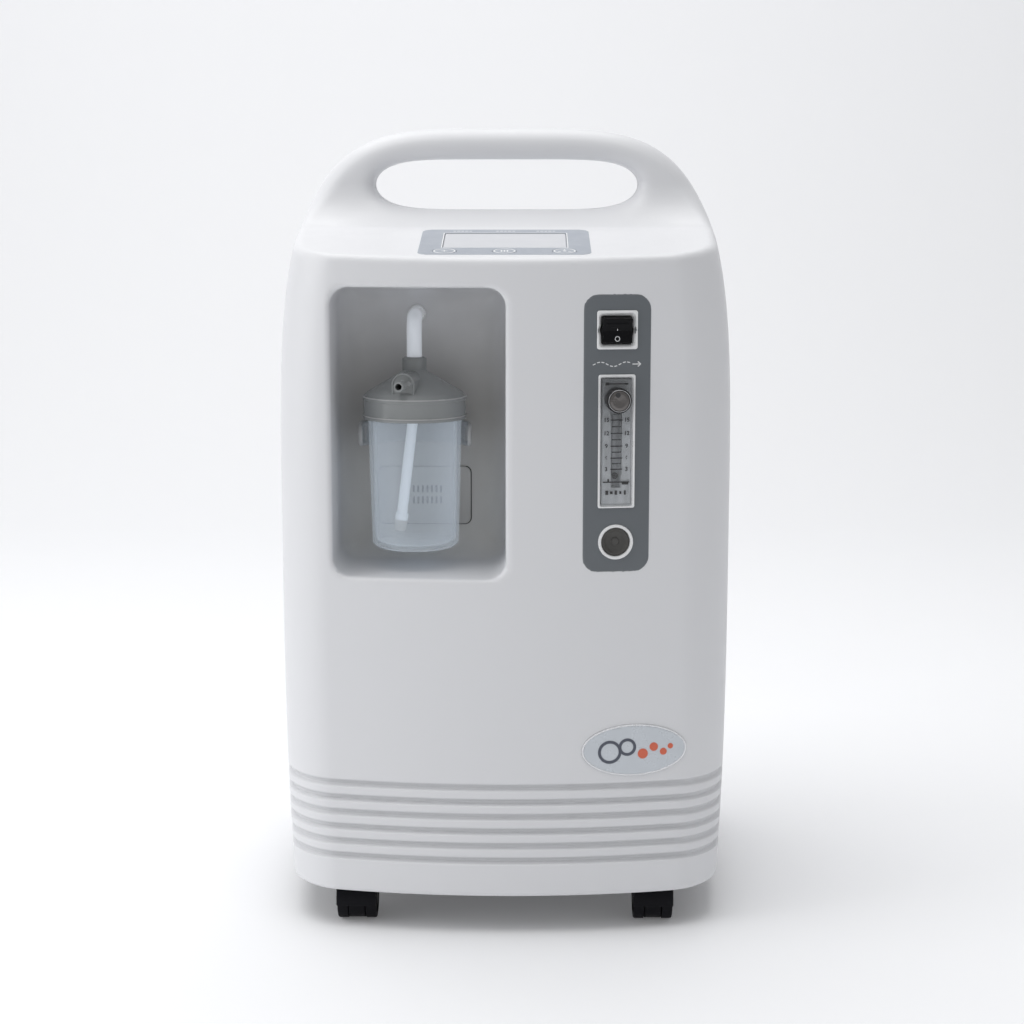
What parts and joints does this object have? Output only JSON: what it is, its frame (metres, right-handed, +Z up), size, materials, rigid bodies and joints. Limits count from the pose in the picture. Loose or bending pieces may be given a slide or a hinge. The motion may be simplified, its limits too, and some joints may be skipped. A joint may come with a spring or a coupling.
{
  "type": "oxygen concentrator",
  "caption": "Floor-standing oxygen concentrator cabinet on casters, with a humidifier bottle in a front recess, a flow panel, a sloping display deck and an arched handle.",
  "frame": {"origin": "on the floor, below the middle of the cabinet", "axes": "+X to the right seen from the front, the front faces -Y, +Z up"},
  "size_m": [0.357, 0.3433, 0.611],
  "materials": {
    "shell_plastic": "fine satin moulding texture",
    "trim_white": "smooth semi gloss",
    "pan_plastic": "moulded satin",
    "caster_fork_plastic": "satin black nylon",
    "wheel_rubber": "worn matt rubber",
    "panel_film": "matt printed film",
    "black_plastic": "semi gloss black",
    "acrylic": "polished clear acrylic",
    "knob_metal": "turned and knurled",
    "ball_black": "polished",
    "badge_foil": "satin silver paint",
    "overlay_film": "matt printed film",
    "display_lens": "gloss clear lens over a pale display",
    "circuit_board": "solder mask",
    "jar_plastic": "clear moulded polycarbonate",
    "lid_plastic": "satin moulding",
    "soft_white": "soft matt",
    "clear_tube": "translucent silicone",
    "cover_grey": "satin",
    "foam": "open cell foam",
    "zinc_steel": "zinc plated",
    "cast_alloy": "as cast",
    "motor_paint": "black stoved paint",
    "mount_rubber": "matt",
    "copper": "drawn copper",
    "tank_alloy": "satin"
  },
  "bodies": {
    "cabinet": {"front_shell": "shell_plastic", "rear_shell": "shell_plastic", "base_pan": "pan_plastic", "shell_screws": "zinc_steel", "control_panel": "panel_film", "switch_bezel": "trim_white", "switch_body": "black_plastic", "flowmeter_frame": "trim_white", "flowmeter_block": "acrylic", "port_bezel": "trim_white", "badge_plate": "badge_foil", "display_overlay": "overlay_film", "display_window": "display_lens", "display_board": "circuit_board", "wall_spigot": "trim_white", "bottle_clip": "lid_plastic", "filter_cover": "cover_grey", "hepa_filter": "soft_white", "power_inlet": "black_plastic", "breaker_body": "black_plastic", "chassis_frame": "zinc_steel", "compressor_motor": "motor_paint", "crankcases": "cast_alloy", "cylinder_heads": "cast_alloy", "vibration_mounts": "mount_rubber", "fan_housing": "black_plastic", "cooling_coil": "copper", "sieve_beds": "tank_alloy", "product_tank": "tank_alloy", "valve_block": "tank_alloy", "control_board": "circuit_board", "hoses": "clear_tube"},
    "power_rocker": {"power_rocker": "black_plastic"},
    "flow_knob": {"flow_knob": "knob_metal"},
    "float_ball": {"float_ball": "ball_black"},
    "port_cap": {"port_cap": "black_plastic"},
    "key_left": {"key_left": "overlay_film"},
    "key_middle": {"key_middle": "overlay_film"},
    "key_right": {"key_right": "overlay_film"},
    "breaker_button": {"breaker_button": "trim_white"},
    "humidifier_lid": {"bottle_lid": "lid_plastic", "lid_gasket": "soft_white", "dip_tube": "clear_tube", "diffuser": "soft_white", "elbow_tube": "clear_tube"},
    "humidifier_jar": {"bottle_jar": "jar_plastic"},
    "intake_door": {"intake_door": "shell_plastic", "foam_filter": "foam"},
    "fan_rotor": {"fan_rotor": "black_plastic"},
    "crankshaft": {"crankshaft": "zinc_steel"},
    "piston_left": {"piston_left": "cast_alloy"},
    "piston_right": {"piston_right": "cast_alloy"},
    "caster_fl": {"caster_fl_fork": "caster_fork_plastic"},
    "wheels_fl": {"caster_fl_wheels": "wheel_rubber"},
    "caster_fr": {"caster_fr_fork": "caster_fork_plastic"},
    "wheels_fr": {"caster_fr_wheels": "wheel_rubber"},
    "caster_rl": {"caster_rl_fork": "caster_fork_plastic"},
    "wheels_rl": {"caster_rl_wheels": "wheel_rubber"},
    "caster_rr": {"caster_rr_fork": "caster_fork_plastic"},
    "wheels_rr": {"caster_rr_wheels": "wheel_rubber"}
  },
  "joints": [
    {"name": "rocker_tilt", "type": "hinge", "parent": "cabinet", "child": "power_rocker", "pos_m": [0.08241, -0.15685, 0.4618], "axis": [-0.9906, -0.1366, 0], "range_deg": [0, 14]},
    {"name": "flow_knob_turn", "type": "hinge", "parent": "cabinet", "child": "flow_knob", "pos_m": [0.08275, -0.15932, 0.411], "axis": [0.1366, -0.9906, 0], "range_deg": [0, 720]},
    {"name": "float_rise", "type": "slide", "parent": "cabinet", "child": "float_ball", "axis": [0, 0, 1], "range_m": [-0.0045, 0.042]},
    {"name": "port_cap_pull", "type": "slide", "parent": "cabinet", "child": "port_cap", "axis": [0.1366, -0.9906, 0], "range_m": [0, 0.025]},
    {"name": "key_left_press", "type": "slide", "parent": "cabinet", "child": "key_left", "axis": [0, 0.1736, -0.9848], "range_m": [0, 0.0006]},
    {"name": "key_middle_press", "type": "slide", "parent": "cabinet", "child": "key_middle", "axis": [0, 0.1736, -0.9848], "range_m": [0, 0.0006]},
    {"name": "key_right_press", "type": "slide", "parent": "cabinet", "child": "key_right", "axis": [0, 0.1736, -0.9848], "range_m": [0, 0.0006]},
    {"name": "breaker_press", "type": "slide", "parent": "cabinet", "child": "breaker_button", "axis": [0, -1, 0], "range_m": [0, 0.003]},
    {"name": "humidifier_pull", "type": "slide", "parent": "cabinet", "child": "humidifier_lid", "axis": [0, -1, 0], "range_m": [0, 0.15]},
    {"name": "jar_unscrew", "type": "hinge", "parent": "humidifier_lid", "child": "humidifier_jar", "pos_m": [-0.069, -0.105, 0.292], "axis": [0, 0, 1], "range_deg": [0, 270]},
    {"name": "intake_door_pull", "type": "slide", "parent": "cabinet", "child": "intake_door", "axis": [0, 1, 0], "range_m": [0, 0.04]},
    {"name": "fan_spin", "type": "hinge", "parent": "cabinet", "child": "fan_rotor", "pos_m": [-0.08, -0.005, 0.232], "axis": [0, 0, 1], "continuous": true},
    {"name": "crank_spin", "type": "hinge", "parent": "cabinet", "child": "crankshaft", "pos_m": [0, -0.025, 0.13], "axis": [1, 0, 0], "continuous": true},
    {"name": "piston_left_stroke", "type": "slide", "parent": "cabinet", "child": "piston_left", "axis": [0, 0, 1], "range_m": [-0.006, 0.006]},
    {"name": "piston_right_stroke", "type": "slide", "parent": "cabinet", "child": "piston_right", "axis": [0, 0, 1], "range_m": [-0.006, 0.006]},
    {"name": "caster_fl_swivel", "type": "hinge", "parent": "cabinet", "child": "caster_fl", "pos_m": [-0.115, -0.116, 0], "axis": [0, 0, 1], "continuous": true},
    {"name": "wheels_fl_spin", "type": "hinge", "parent": "caster_fl", "child": "wheels_fl", "pos_m": [-0.115, -0.126, 0.019], "axis": [1, 0, 0], "continuous": true},
    {"name": "caster_fr_swivel", "type": "hinge", "parent": "cabinet", "child": "caster_fr", "pos_m": [0.115, -0.116, 0], "axis": [0, 0, 1], "continuous": true},
    {"name": "wheels_fr_spin", "type": "hinge", "parent": "caster_fr", "child": "wheels_fr", "pos_m": [0.115, -0.126, 0.019], "axis": [1, 0, 0], "continuous": true},
    {"name": "caster_rl_swivel", "type": "hinge", "parent": "cabinet", "child": "caster_rl", "pos_m": [-0.115, 0.116, 0], "axis": [0, 0, 1], "continuous": true},
    {"name": "wheels_rl_spin", "type": "hinge", "parent": "caster_rl", "child": "wheels_rl", "pos_m": [-0.115, 0.106, 0.019], "axis": [1, 0, 0], "continuous": true},
    {"name": "caster_rr_swivel", "type": "hinge", "parent": "cabinet", "child": "caster_rr", "pos_m": [0.115, 0.116, 0], "axis": [0, 0, 1], "continuous": true},
    {"name": "wheels_rr_spin", "type": "hinge", "parent": "caster_rr", "child": "wheels_rr", "pos_m": [0.115, 0.106, 0.019], "axis": [1, 0, 0], "continuous": true}
  ]
}
